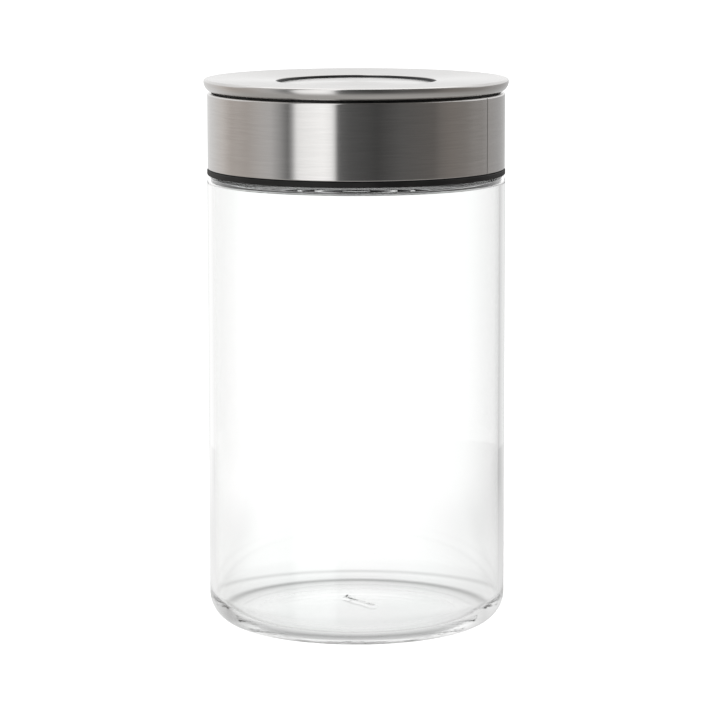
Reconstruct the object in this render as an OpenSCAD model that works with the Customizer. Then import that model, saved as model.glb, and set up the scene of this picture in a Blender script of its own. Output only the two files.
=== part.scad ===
// Push-seal storage canister: a glass jar with a steel collar, and a plug lid
// whose centre button drives six pushers out against a silicone gasket.
// Millimetres. Z is up, and the origin is the centre of the ring that the jar stands on.
// The model is drawn sealed: lid seated, button latched down, pushers out.

/* [Jar] */
// Outside diameter of the glass body
body_d = 100; // [96:1:110]
// Height of the glass shoulder above the table
shoulder_z = 152.1; // [110:0.1:220]
// Thickness of the glass wall
wall = 2.0; // [1.6:0.1:2.4]
// Thickness of the glass floor
floor_t = 3.2; // [2.4:0.1:5]
// Outside radius of the bottom corner
corner_r = 10; // [6:0.5:14]
// Rise of the push-up under the floor
push_up = 1.4; // [0.6:0.1:3]

/* [Collar] */
// Height of the steel band
band_h = 25.4; // [25:0.1:27]
// Thickness of the band's sheet
band_t = 0.5; // [0.4:0.1:0.7]
// Bearing of the band's butt seam, in degrees from +X
seam_angle = -30.3; // [-180:0.1:180]

/* [Lid] */
// How far the cover's rim stands out past the glass
rim_overhang = 1.0; // [0.5:0.1:2]
// Radius of the rim's side, which curves in underneath for the fingers
rim_side = 3.6; // [3:0.1:3.9]
// Radius of the rim's top edge
rim_edge = 0.95; // [0.9:0.05:1.2]
// Thickness of the cover's sheet
sheet_t = 0.6; // [0.5:0.05:0.8]
// Diameter of the cover's centre hole
hole_d = 53.6; // [53:0.1:54]
// How far the cover falls from its rim to its hole
dish = 0.75; // [0.5:0.05:1.2]

/* [Seal] */
// How far the button pops up
travel = 8; // [6:0.5:8]
// How far each pusher moves out as the button goes down
stroke = 1.2; // [0.8:0.1:1.4]
// Number of pushers round the gasket
pusher_n = 6; // [6:1:6]
// How far the latch rotor turns over the button's travel, in degrees
index_turn = 45; // [30:1:45]

/* [Hidden] */
$fn = 96;

// Fits
slip = 0.05;        // parts that are clamped or bonded face to face
run = 0.15;         // parts that slide on each other

// Jar
body_r = body_d / 2;
shoulder_r = 2.4;
shoulder_in = 0.8;   // radius of the shoulder's corner inside
neck_r = body_r - 5;
neck_wall = 2.4;
mouth_r = neck_r - neck_wall;
neck_fillet = 1;
neck_h = 24.5;
lip_z = shoulder_z + neck_h;
bead_z = shoulder_z + 13.9;
bead_r = 0.8;
foot_in = body_r - corner_r - 6;
foot_out = body_r - corner_r;

// Collar
band_r = body_r - 0.2;
band_z = shoulder_z + 1.9;
band_top = band_z + band_h;
curl = 0.6;         // corner radius where the band's edges turn in
curl_w = 1.4;       // how far the turned edges reach in

// Lid, stacked on the seat plane where the frame rests on the collar's seat ring
seat_z = band_top - 0.2;
rim_r = body_r + rim_overhang;              // widest radius of the cover
rim_turn = 68;                              // how far round the rim's side curves, in degrees
rim_z = band_top + 0.5 + rim_side * sin(rim_turn);
rim_top = rim_z + rim_edge;
side_c = rim_r - rim_side;                  // centre of the side's arc
edge_c = rim_r - rim_edge;                  // centre of the top edge's arc
hole_r = hole_d / 2;
lip_r = 0.3;                                // edge of the lip round the hole
hole_z = rim_top - dish;
lip_end = hole_z - 0.9;
frame_edge = side_c - 0.2;                  // the part of the frame seen in the gap under the rim

// Well, deck and plug
well_r = hole_r - 0.4;
well_t = 1.6;
deck_top = seat_z - 7;
deck_t = 1.6;
deck_hole = 17.2;
pusher_top = deck_top - deck_t - 0.4;
pusher_h = 6;
pusher_z = pusher_top - pusher_h;
plug_r = mouth_r - 3;
plug_wall = 1.6;
floor_top = pusher_z - travel - 0.4;
plug_floor_t = 2.2;
plug_z = floor_top - plug_floor_t;
flange_r = mouth_r - 1.2;                   // plug flanges that hold the gasket
screw_ring = 31;                            // radius that the screws stand on
boss_r = 3.2;

// Pushers and spreader
ramp = stroke / travel;                     // taper of the spreader's six faces
ramp_top = 14;                              // from the axis to a face, at the pushers' top
bar_w = 8;
pad_t = 2.3;
pad_arc = 40;
step = 360 / pusher_n;

// Button
cap_r = hole_r - 0.7;
cap_z = hole_z - 0.9;                       // edge of the button's top
cap_dome = 0.5;
cap_t = 0.5;
cap_edge = 0.7;
cap_skirt = 3;
skirt_t = 1.3;
skirt_z = deck_top + 0.4;
carrier_top = cap_z - cap_t - slip;
carrier_plate = 1.8;
carrier_z = carrier_top - carrier_plate;

// Latch
sleeve_r = 9;
sleeve_bore = 6.2;
sleeve_top = pusher_top - 0.4;
rotor_z = floor_top + 2.4;
rotor_h = 4;
rotor_r = 5.9;
lug_w = 2.4;
lug_h = 3;
lug_r = 8.6;
lug_n = 3;
web_t = 2.4;

// Points along an arc of radius r about c, from angle a0 to a1
function arc(c, r, a0, a1, n = 10) =
    [for (i = [0:n]) c + r * [cos(a0 + (a1 - a0) * i / n), sin(a0 + (a1 - a0) * i / n)]];

// Radius of the dome that rises by h over a chord of half-width w
function dome_r(w, h) = (w * w + h * h) / (2 * h);

// Solid of revolution of an outline in (radius, height)
module lathe(points) {
    rotate_extrude() polygon(points);
}

// Plain ring
module ring(inner, outer, z0, z1) {
    translate([0, 0, z0]) difference() {
        cylinder(r = outer, h = z1 - z0);
        translate([0, 0, -1]) cylinder(r = inner, h = z1 - z0 + 2);
    }
}

// Copies of the children round the axis
module around(n, start = 0) {
    for (i = [0:n - 1]) rotate(start + i * 360 / n) children();
}

// Sector of a ring, centred on +X
module sector(inner, outer, z0, z1, angle) {
    translate([0, 0, z0]) rotate(-angle / 2) rotate_extrude(angle = angle)
        translate([inner, 0]) square([outer - inner, z1 - z0]);
}

// ---- Jar ----

// Blown glass: push-up, standing ring, round corner, wall, shoulder, neck with a snap bead, fire-polished lip
module glass_jar() {
    under_r = dome_r(foot_in, push_up);
    floor_w = body_r - corner_r;
    floor_r = dome_r(floor_w, push_up);
    inner_corner = corner_r - wall;
    lip = neck_wall / 2;
    color("lightcyan", 0.4) lathe(concat(
        arc([0, push_up - under_r], under_r, 90, 90 - asin(foot_in / under_r), 6),
        arc([body_r - corner_r, corner_r], corner_r, -90, 0, 14),
        arc([body_r - shoulder_r, shoulder_z - shoulder_r], shoulder_r, 0, 90, 10),
        arc([neck_r + neck_fillet, shoulder_z + neck_fillet], neck_fillet, 270, 180, 5),
        arc([neck_r - 0.1, bead_z], bead_r, -83, 83, 8),
        arc([neck_r - lip, lip_z - lip], lip, 0, 180, 14),
        arc([mouth_r + wall + neck_fillet, shoulder_z + neck_fillet], wall + neck_fillet, 180, 270, 8),
        arc([body_r - wall - shoulder_in, shoulder_z - wall - shoulder_in], shoulder_in, 90, 0, 6),
        arc([floor_w, floor_t + inner_corner], inner_corner, 0, -90, 12),
        arc([0, floor_t + push_up - floor_r], floor_r, 90 - asin(floor_w / floor_r), 90, 6)
    ));
}

// Black silicone ring between the shoulder and the collar, standing a little proud of the band
module shoulder_gasket() {
    soft = 0.35;
    inner = neck_r + neck_fillet + 0.2;
    outer = body_r - 0.05;
    low = shoulder_z + slip;
    high = band_z - slip;
    color("dimgray") lathe(concat(
        [[inner, low]],
        arc([outer - soft, low + soft], soft, -90, 0, 5),
        arc([outer - soft, high - soft], soft, 0, 90, 5),
        [[inner, high]]
    ));
}

// Black ring that snaps over the neck's bead and carries the steel band
module collar_core() {
    inner = neck_r + run;
    outer = band_r - band_t - slip;
    foot = band_z + band_t + slip;
    top = band_top - band_t - slip;
    foot_r = band_r - curl_w - slip;
    groove = bead_r + 0.25;
    seat_r = neck_r + 2;
    color("#222222") difference() {
        lathe([
            [inner, band_z], [foot_r, band_z], [foot_r, foot], [outer - 0.3, foot], [outer, foot + 0.3],
            [outer, top - 0.3], [outer - 0.3, top], [seat_r, top], [seat_r, lip_z - 1.2],
            [inner, lip_z - 1.2]
        ]);
        lathe(concat([[inner - 1, bead_z - groove]], arc([inner - 0.25, bead_z], groove, -90, 90, 8),
            [[inner - 1, bead_z + groove]]));
    }
}

// Brushed steel strip rolled round the collar, its edges turned in and its ends butted at one seam
module collar_band() {
    inner = band_r - curl_w;
    inside = band_r - band_t;
    bend = curl - band_t;
    groove_w = 0.3;
    groove_d = 0.25;
    color("silver") difference() {
        lathe(concat(
            [[inner, band_z]],
            arc([band_r - curl, band_z + curl], curl, -90, 0, 8),
            arc([band_r - curl, band_top - curl], curl, 0, 90, 8),
            [[inner, band_top], [inner, band_top - band_t]],
            arc([inside - bend, band_top - curl], bend, 90, 0, 3),
            arc([inside - bend, band_z + curl], bend, 0, -90, 3),
            [[inner, band_z + band_t]]
        ));
        rotate(seam_angle) translate([band_r - groove_d, -groove_w / 2, band_z - 1])
            cube([1, groove_w, band_h + 2]);
    }
}

// Black silicone ring on the glass lip, which the lid's frame rests on
module seat_ring() {
    inner = mouth_r + 0.4;
    outer = neck_r + 1.9;
    soft = 0.4;
    color("dimgray") lathe(concat(
        arc([inner + soft, lip_z + slip + soft], soft, 180, 270, 4),
        arc([outer - soft, lip_z + slip + soft], soft, -90, 0, 4),
        arc([outer - soft, seat_z - slip - soft], soft, 0, 90, 4),
        arc([inner + soft, seat_z - slip - soft], soft, 90, 180, 4)
    ));
}

// ---- Lid ----

// Pressed steel cover: a side that curves in under its top edge, a shallow dish, and a lip drawn down round the hole
module lid_cover() {
    inside = rim_side - sheet_t;
    hem = 0.45;                             // rounded end of the sheet
    hem_c = [side_c, rim_z] + (rim_side - hem) * [cos(rim_turn), -sin(rim_turn)];
    hem_in = acos((hem_c[0] - hem - side_c) / inside);
    color("silver") lathe(concat(
        [[hole_r, lip_end]],
        arc([hole_r + lip_r, hole_z - lip_r], lip_r, 180, 92, 5),
        arc([edge_c, rim_z], rim_edge, 90, 0, 8),
        arc([side_c, rim_z], rim_side, 0, -rim_turn, 12),
        arc(hem_c, hem, -rim_turn, -180, 6),
        arc([side_c, rim_z], inside, -hem_in, 0, 10),
        arc([edge_c, rim_z], rim_edge - sheet_t, 0, 90, 4),
        [[hole_r + sheet_t, hole_z - sheet_t], [hole_r + sheet_t, lip_end]]
    ));
}

// Ribbed black frame: the flange inside the rim, the well that guides the button, and the spring deck
module lid_frame() {
    skin = 1.8;
    side = rim_side - sheet_t - slip;
    edge = rim_edge - sheet_t - slip;
    well_top = hole_z - 0.2;                // the well's thin lip lines the hole
    lining = hole_r - slip;
    channel = lip_end - 0.1;                // the cover's lip sits in this channel
    neck_in = hole_r + sheet_t + slip;
    well_out = well_r + well_t;
    top_in = hole_z - sheet_t - 0.1;        // underside of the cover at the hole
    foot_in = plug_r + 0.4;
    rib_t = 1.2;
    rib_z = seat_z + 0.8;
    color("#222222") difference() {
        union() {
            lathe(concat(
                [[neck_in, channel], [lining, channel], [lining, well_top], [well_r + 0.1, well_top],
                 [well_r, well_top - 0.1], [well_r, deck_top - deck_t],
                 [well_out, deck_top - deck_t], [well_out, top_in - skin], [foot_in, rim_z + edge - skin - 0.3],
                 [foot_in, seat_z], [frame_edge, seat_z], [frame_edge, rim_z - side]],
                arc([side_c, rim_z], side, -90, 0, 10),
                arc([edge_c, rim_z], edge, 0, 90, 3),
                [[neck_in, top_in]]
            ));
            ring(deck_hole, plug_r - plug_wall - 0.1, deck_top - deck_t, deck_top);
            around(12, 15) translate([well_out - 0.2, -rib_t / 2, rib_z])
                cube([foot_in - well_out + 0.4, rib_t, top_in - skin - rib_z + 0.2]);
        }
        // driver access through the skin, and clearance for the frame screws through the deck
        around(pusher_n, step / 2) translate([screw_ring, 0, deck_top - deck_t - 1]) {
            cylinder(r = 1.45, h = deck_t + 2);
            translate([0, 0, deck_t + 2]) cylinder(r = 2.7, h = 20);
        }
    }
}

// Pan-head screw with a cross recess, its head at z = 0 and its shank along +Z
module screw(head_r, head_h, shank_r, shank_h) {
    slot_w = 0.6;
    difference() {
        union() {
            cylinder(r = head_r, h = head_h);
            cylinder(r = shank_r, h = head_h + shank_h);
        }
        for (a = [0, 90]) rotate(a) translate([-head_r * 0.6, -slot_w / 2, -1])
            cube([head_r * 1.2, slot_w, 1.6]);
    }
}

// Six screws down through the deck into the plug's bosses
module frame_screws() {
    color("lightgray") around(pusher_n, step / 2) translate([screw_ring, 0, deck_top + 1.3])
        mirror([0, 0, 1]) screw(2.4, 1.25, 1.2, 5.6);
}

// Plug wall with a window for each pusher, a shelf that the pushers slide on, and the screw bosses
module plug_shell() {
    inner = plug_r - plug_wall;
    shelf_z = pusher_z - 1.6;
    boss_top = deck_top - deck_t - slip;
    rail_gap = bar_w / 2 + run;
    rail_t = 1.2;
    pilot = 1.25;
    color("#2b2b2b") difference() {
        union() {
            ring(inner, plug_r, floor_top + slip, seat_z - slip);
            ring(plug_r - 0.2, flange_r, seat_z - 3, seat_z - 1.6);
            ring(17.5, inner + 0.2, shelf_z, pusher_z - run);
            around(pusher_n, step / 2) translate([screw_ring, 0, floor_top + slip])
                cylinder(r = boss_r, h = boss_top - floor_top - slip);
            around(pusher_n) for (side = [-1, 1])
                translate([19, side * (rail_gap + rail_t / 2) - rail_t / 2, shelf_z])
                    cube([14.5, rail_t, boss_top - shelf_z]);
        }
        around(pusher_n) sector(inner - 1, plug_r + 1, pusher_z - run, pusher_top + 0.2, pad_arc + 3);
        around(pusher_n, step / 2) translate([screw_ring, 0, floor_top - 1]) {
            cylinder(r = pilot, h = 9);
            translate([0, 0, boss_top - floor_top - 6]) cylinder(r = pilot, h = 9);
        }
    }
}

// Frosted silicone sleeve with three sealing ribs, drawn as the pushers hold it against the neck
module plug_gasket() {
    inner = plug_r + 0.1;
    body = inner + 1.2;
    seal = mouth_r - run;
    rib = 0.9;
    z0 = floor_top + 0.6;
    z1 = seat_z - 3 - slip;
    mid = pusher_z + pusher_h / 2;
    color("whitesmoke") union() {
        ring(inner, body, z0, z1);
        for (z = [mid - 4, mid, mid + 4])
            lathe(concat([[body - 0.4, z - rib]], arc([seal - rib, z], rib, -90, 90, 10), [[body - 0.4, z + rib]]));
    }
}

// Floor of the plug, with a lip that holds the gasket up and counterbores for the screws
module plug_floor() {
    counterbore = 1.4;
    color("#2b2b2b") difference() {
        union() {
            translate([0, 0, plug_z]) cylinder(r = plug_r, h = plug_floor_t);
            ring(plug_r - 0.5, flange_r, plug_z + 0.4, plug_z + plug_floor_t);
            ring(plug_r + 0.1, flange_r, plug_z + 1, floor_top + 0.5);
        }
        around(pusher_n, step / 2) translate([screw_ring, 0, plug_z - 1]) {
            cylinder(r = 1.45, h = 5);
            cylinder(r = 2.8, h = counterbore + 1);
        }
        translate([0, 0, plug_z - 1]) {
            cylinder(r = 1.45, h = 5);
            cylinder(r = 2.8, h = counterbore + 1);
        }
    }
}

// Six screws up through the floor into the same bosses
module floor_screws() {
    color("lightgray") around(pusher_n, step / 2) translate([screw_ring, 0, plug_z + 0.2])
        screw(2.6, 1.15, 1.2, 8);
}

// Post on the floor with three slanted slots, which turn the rotor as the button moves
module latch_sleeve() {
    web = 1.2;
    slot_w = lug_w + 0.8;
    lug_z = rotor_z + 0.5;
    steps = 16;
    color("ivory") difference() {
        translate([0, 0, floor_top + slip]) cylinder(r = sleeve_r, h = sleeve_top - floor_top - slip);
        translate([0, 0, floor_top + web]) cylinder(r = sleeve_bore, h = sleeve_top);
        translate([0, 0, floor_top - 1]) cylinder(r = 1.25, h = 5);
        around(lug_n) for (i = [0:steps]) rotate(index_turn * i / steps)
            translate([sleeve_bore - 1, -slot_w / 2, lug_z - 0.4 + travel * i / steps])
                cube([sleeve_r, slot_w, lug_h + 0.8]);
    }
}

module sleeve_screw() {
    color("lightgray") translate([0, 0, plug_z + 0.2]) screw(2.6, 1.15, 1.2, 1.8);
}

// One ring of points round a wire of radius r whose centre is at angle a on a coil of radius c, height z
function wire_ring(c, a, z, r, sides) =
    [for (j = [0:sides - 1]) let (b = 360 * j / sides)
        [(c + r * cos(b)) * cos(a), (c + r * cos(b)) * sin(a), z + r * sin(b)]];

// Compression spring between the deck and the button, drawn compressed
module return_spring() {
    coil_r = 20.5;
    wire = 0.6;
    turns = 4.5;
    sides = 8;
    rings = 90;
    z0 = deck_top + wire + slip;
    z1 = carrier_z - wire - slip;
    points = [for (i = [0:rings]) each wire_ring(coil_r, 360 * turns * i / rings,
        z0 + (z1 - z0) * i / rings, wire, sides)];
    sidewalls = [for (i = [0:rings - 1]) for (j = [0:sides - 1]) let (k = (j + 1) % sides)
        [i * sides + j, i * sides + k, (i + 1) * sides + k, (i + 1) * sides + j]];
    caps = [[for (j = [sides - 1:-1:0]) j], [for (j = [0:sides - 1]) rings * sides + j]];
    color("lightsteelblue") polyhedron(points, concat(sidewalls, caps), convexity = 10);
}

// ---- Button ----

// Domed steel cap with a short skirt
module button_cap() {
    dome = dome_r(cap_r - cap_edge, cap_dome);
    half = asin((cap_r - cap_edge) / dome);
    low = cap_z - cap_skirt;
    color("silver") lathe(concat(
        arc([0, cap_z + cap_dome - dome], dome, 90, 90 - half, 8),
        arc([cap_r - cap_edge, cap_z - cap_edge], cap_edge, 88, 0, 6),
        [[cap_r, low], [cap_r - cap_t, low]],
        [[cap_r - cap_t, cap_z - cap_edge], [cap_r - cap_edge, cap_z - cap_t]],
        [[0, cap_z - cap_t]]
    ));
}

// Black carrier: plate under the cap, skirt that slides in the well, boss for the stem and stiffening ribs
module button_carrier() {
    under_cap = cap_r - cap_t - slip;
    skirt_r = cap_r - 0.1;
    step_z = cap_z - cap_skirt - slip;
    skirt_in = skirt_r - skirt_t;
    boss_z = pusher_top + web_t + slip;
    color("#222222") difference() {
        union() {
            lathe([
                [0, carrier_z], [skirt_in, carrier_z], [skirt_in, skirt_z], [skirt_r - 0.2, skirt_z],
                [skirt_r, skirt_z + 0.2], [skirt_r, step_z], [under_cap, step_z],
                [under_cap, carrier_top - 0.4], [under_cap - 0.4, carrier_top], [0, carrier_top]
            ]);
            translate([0, 0, boss_z]) cylinder(r = 7, h = carrier_z - boss_z + 0.5);
            around(pusher_n) translate([6, -0.6, carrier_z - 4]) cube([12.5, 1.2, 4.5]);
        }
        translate([0, 0, boss_z - 1]) cylinder(r = 3 + slip, h = carrier_z - boss_z + 1);
    }
}

// Six-sided tapered block: going down, its faces push the pushers out
module spreader() {
    span = pusher_h + travel;
    low = ramp_top - ramp * span;
    flats = cos(180 / pusher_n);
    color("ivory") difference() {
        union() {
            translate([0, 0, pusher_top - span]) rotate(180 / pusher_n)
                cylinder(r1 = low / flats, r2 = ramp_top / flats, h = span, $fn = pusher_n);
            translate([0, 0, pusher_top - 0.5]) cylinder(r = ramp_top - 0.3, h = web_t + 0.5);
        }
        translate([0, 0, pusher_top - span - 1]) cylinder(r = sleeve_r + 0.6, h = span + 1);
        translate([0, 0, pusher_top - 2]) cylinder(r = 3 + slip, h = web_t + 4);
    }
}

// Turned steel stem: shank up into the carrier, flange under the spreader, spigot for the rotor
module stem() {
    flange = 1.5;
    flange_z = pusher_top - slip;
    spigot = 2.4;
    thread = 1.0;
    color("lightgray") difference() {
        union() {
            translate([0, 0, flange_z]) cylinder(r = 3, h = carrier_z - flange_z - 0.5);
            translate([0, 0, flange_z - flange]) cylinder(r = 5, h = flange);
            translate([0, 0, rotor_z + rotor_h + slip]) cylinder(r = 3.6, h = flange_z - rotor_z - rotor_h - 0.5);
            translate([0, 0, rotor_z - slip]) cylinder(r = spigot, h = rotor_h + 1);
        }
        translate([0, 0, rotor_z - 1]) cylinder(r = thread + slip, h = 5);
    }
}

// Screw that keeps the rotor on the stem
module rotor_screw() {
    color("lightgray") translate([0, 0, rotor_z - slip - 0.85]) screw(3.4, 0.8, 1.0, 3);
}

// Rotor with three lugs, free to turn on the stem's spigot
module latch_rotor() {
    color("ivory") difference() {
        union() {
            translate([0, 0, rotor_z]) cylinder(r = rotor_r, h = rotor_h);
            around(lug_n) translate([0, -lug_w / 2, rotor_z + 0.5]) cube([lug_r, lug_w, lug_h]);
        }
        translate([0, 0, rotor_z - 1]) cylinder(r = 2.4 + slip, h = rotor_h + 2);
    }
}

// Pusher at bearing (i - 1) * step: sloped foot on the spreader, bar between the rails, pad behind the gasket
module pusher(i) {
    play = 0.06;
    foot_low = ramp_top - ramp * pusher_h + play;
    foot_top = ramp_top + play;
    pad_r = plug_r + slip;
    color("ivory") rotate((i - 1) * step) union() {
        translate([0, bar_w / 2, 0]) rotate([90, 0, 0]) linear_extrude(bar_w)
            polygon([[foot_low, pusher_z], [foot_top, pusher_top], [pad_r - 1.5, pusher_top],
                [pad_r - 1.5, pusher_z]]);
        sector(pad_r - pad_t, pad_r, pusher_z, pusher_top, pad_arc);
    }
}

glass_jar();
shoulder_gasket();
collar_core();
collar_band();
seat_ring();
lid_cover();
lid_frame();
frame_screws();
plug_shell();
plug_gasket();
plug_floor();
floor_screws();
latch_sleeve();
sleeve_screw();
return_spring();
button_cap();
button_carrier();
spreader();
stem();
rotor_screw();
latch_rotor();
for (i = [1:pusher_n])
    pusher(i);
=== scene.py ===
# %% [markdown]
# # A push-seal storage canister
# A glass jar wears a brushed steel collar, and a plug lid drops into it. Pressing the steel button in the
# middle of the lid drives six pushers out against a silicone sleeve, which seals the neck.
# The exact solids come from CAD. This lesson gives every part that shows its final surface:
# fine turned meshes for glass, steel and silicone, and a finish made of nodes for each material.
# The first cell loads the CAD model.

# %% Load the CAD model
import math

import bmesh
import bpy
from mathutils import Matrix, Vector


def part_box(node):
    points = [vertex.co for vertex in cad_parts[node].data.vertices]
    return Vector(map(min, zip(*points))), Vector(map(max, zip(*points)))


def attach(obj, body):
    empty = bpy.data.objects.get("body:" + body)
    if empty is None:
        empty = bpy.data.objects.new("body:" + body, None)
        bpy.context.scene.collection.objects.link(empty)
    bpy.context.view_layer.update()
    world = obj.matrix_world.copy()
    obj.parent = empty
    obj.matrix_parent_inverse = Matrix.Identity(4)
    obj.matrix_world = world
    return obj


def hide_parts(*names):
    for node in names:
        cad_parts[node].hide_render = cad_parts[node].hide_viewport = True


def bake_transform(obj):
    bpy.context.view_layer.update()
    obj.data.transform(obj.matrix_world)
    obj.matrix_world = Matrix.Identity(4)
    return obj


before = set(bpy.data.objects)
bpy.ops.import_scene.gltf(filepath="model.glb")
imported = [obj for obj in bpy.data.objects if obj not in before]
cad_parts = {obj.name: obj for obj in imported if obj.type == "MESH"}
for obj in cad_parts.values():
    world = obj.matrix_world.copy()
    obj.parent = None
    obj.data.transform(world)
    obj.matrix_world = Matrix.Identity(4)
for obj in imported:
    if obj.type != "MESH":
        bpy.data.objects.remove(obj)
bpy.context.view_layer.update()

# %% [markdown]
# ## Sizes
# Everything is drawn in millimetres and scaled to Blender's metres when a mesh is made, because a maker
# thinks in millimetres. The main heights and radii are read from the boxes of the CAD parts, so the pieces
# land on the solids they stand for. Wall thicknesses, gaps and corner radii are written here as numbers.

# %% Read the main sizes from the CAD parts
MM = 0.001


def sizes(node):
    """Outside radius, bottom and top of a CAD part, in millimetres."""
    low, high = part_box(node)
    return round(high[0] / MM, 2), round(low[2] / MM, 2), round(high[2] / MM, 2)


jar_r, foot_z, lip_z = sizes("glass_jar")
band_r, band_z, band_top = sizes("collar_band")
rim_r, rim_low, rim_top = sizes("lid_cover")
cap_r, cap_low, cap_high = sizes("button_cap")
print("jar radius:", jar_r, "from", foot_z, "to", lip_z, "- band:", band_r, band_z, band_top)
print("cover rim:", rim_r, rim_low, rim_top, "- button:", cap_r, cap_low, cap_high)

# %% [markdown]
# ## Turning on a lathe
# Nearly every part of a jar and its lid is round about one axis, so the main tool is a lathe: an outline in
# (radius, height) is carried round the axis. Blender has a Screw modifier and a Spin tool for this, but
# building the rings by hand keeps them watertight where the outline touches the axis.
# Long straight runs get extra points close to their ends. Smooth shading averages the normals at a corner,
# and without those points the average would bend the light over the whole wall.

# %% Outline helpers and the lathe
def arc(centre, radius, start, end, steps):
    """Points along an arc, in (radius, height), from one angle to another in degrees."""
    points = []
    for i in range(steps + 1):
        a = math.radians(start + (end - start) * i / steps)
        points.append((centre[0] + radius * math.cos(a), centre[1] + radius * math.sin(a)))
    return points


def braced(outline, longest=6.0, hold=0.12):
    """The closed outline with points near both ends of each long straight run, and along it."""
    points = []
    for here, there in zip(outline, outline[1:] + outline[:1]):
        points.append(here)
        run = math.dist(here, there)
        if run < 4 * hold:
            continue
        spaces = max(1, round(run / longest))
        stops = [hold] + [run * i / spaces for i in range(1, spaces)] + [run - hold]
        for stop in stops:
            t = stop / run
            points.append((here[0] + (there[0] - here[0]) * t, here[1] + (there[1] - here[1]) * t))
    return points


def settled(name, shape, sharp=40):
    """A Blender object from a bmesh, smooth except where faces meet at more than the sharp angle."""
    bmesh.ops.recalc_face_normals(shape, faces=shape.faces)
    mesh = bpy.data.meshes.new(name)
    shape.to_mesh(mesh)
    shape.free()
    mesh.shade_smooth()
    mesh.set_sharp_from_angle(angle=math.radians(sharp))
    piece = bpy.data.objects.new(name, mesh)
    bpy.context.scene.collection.objects.link(piece)
    return piece


def turned(name, outline, steps=256, lift=None, sharp=40):
    """A closed outline carried round the axis. lift(x, y, z) may raise a point, in millimetres."""
    shape = bmesh.new()
    rings = []
    for radius, height in outline:
        count = 1 if radius < 1e-6 else steps
        ring = []
        for i in range(count):
            a = 2 * math.pi * i / steps
            x, y, z = radius * math.cos(a), radius * math.sin(a), height
            if lift:
                z += lift(x, y, z)
            ring.append(shape.verts.new((x * MM, y * MM, z * MM)))
        rings.append(ring)
    for one, two in zip(rings, rings[1:] + rings[:1]):
        if len(one) == 1 and len(two) == 1:
            continue
        for i in range(steps):
            j = (i + 1) % steps
            if len(one) == 1:
                shape.faces.new((one[0], two[j], two[i]))
            elif len(two) == 1:
                shape.faces.new((one[i], one[j], two[0]))
            else:
                shape.faces.new((one[i], one[j], two[j], two[i]))
    return settled(name, shape, sharp)


# %% [markdown]
# ## Handing a piece over
# Each finished mesh stands for one CAD part. It takes the part's place in the picture, moves with the same
# body, and takes its finish.

# %% Hand a piece over to the model
def hand_over(piece, node, body, finish):
    """Gives the piece its finish, hides the CAD part that it stands for, and fixes it to a moving body."""
    piece.data.materials.clear()
    piece.data.materials.append(finish)
    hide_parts(node)
    if body:
        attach(piece, body)
    size = [round(v / MM, 1) for v in piece.dimensions]
    print(piece.name, "for", node, "-", len(piece.data.polygons), "faces, mm:", size)


# %% [markdown]
# ## Building finishes from nodes
# A finish is a small circuit of nodes that ends in the Principled shader. A few helpers keep the circuits
# readable: one adds a node with its settings, one starts a material with its shader in place, and the rest
# are steps that come again and again: a colour ramp, a range, a soft step, and two shaders mixed.
# A number that is the same all over the surface goes straight on the shader's socket.

# %% Node helpers
def add(tree, kind, inputs=None, **settings):
    """A node of that kind, with its settings and the values or links of its inputs."""
    node = tree.nodes.new("ShaderNode" + kind)
    for key, value in settings.items():
        setattr(node, key, value)
    for key, value in (inputs or {}).items():
        if isinstance(value, bpy.types.NodeSocket):
            tree.links.new(value, node.inputs[key])
        else:
            node.inputs[key].default_value = value
    return node


def start_finish(name, **values):
    """A new material: its node tree and its Principled shader, with constant values set on the sockets."""
    material = bpy.data.materials.new(name)
    material.use_nodes = True
    tree = material.node_tree
    tree.nodes.clear()
    shader = add(tree, "BsdfPrincipled")
    for key, value in values.items():
        shader.inputs[key.replace("_", " ")].default_value = value
    output = add(tree, "OutputMaterial", {"Surface": shader.outputs[0]})
    return material, tree, shader, output


def ramp(tree, amount, stops, blend="EASE"):
    """A colour ramp over amount, from (position, colour) stops."""
    node = add(tree, "ValToRGB", {"Fac": amount})
    node.color_ramp.interpolation = blend
    marks = node.color_ramp.elements
    while len(marks) < len(stops):
        marks.new(0.5)
    for mark, (position, colour) in zip(marks, stops):
        mark.position = position
        mark.color = (*colour, 1)
    return node


def spread(tree, amount, low, high):
    """Amount from 0 to 1, mapped to run from low to high."""
    return add(tree, "MapRange", {"Value": amount, "To Min": low, "To Max": high}).outputs[0]


def eased(tree, amount, start, end, low=0.0, high=1.0):
    """Low until amount reaches start, high once it reaches end, and a soft step between them."""
    return add(tree, "MapRange", {"Value": amount, "From Min": start, "From Max": end,
                                  "To Min": low, "To Max": high}, interpolation_type="SMOOTHSTEP").outputs[0]


def mixed(tree, amount, first, second):
    """Two shaders: the first where amount is 0, the second where it is 1."""
    return add(tree, "MixShader", {0: amount, 1: first, 2: second}).outputs[0]


# %% [markdown]
# ## Brushed steel
# The band and the cover are stainless sheet, brushed by an abrasive belt while the part turns, so the grain
# runs round the axis. Such a surface keeps reflections crisp along the grain and smears them across it.
# The shader's anisotropy does that. Its direction comes from a Tangent node about Z, turned a quarter turn,
# because the smear runs across the grain: up the band, and outwards over the cover.
# The grain itself is noise in four dimensions. Its first three inputs are the direction round the axis and
# the height, its fourth is the radius, so the streaks are long round the part and hair-fine across it.

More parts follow.
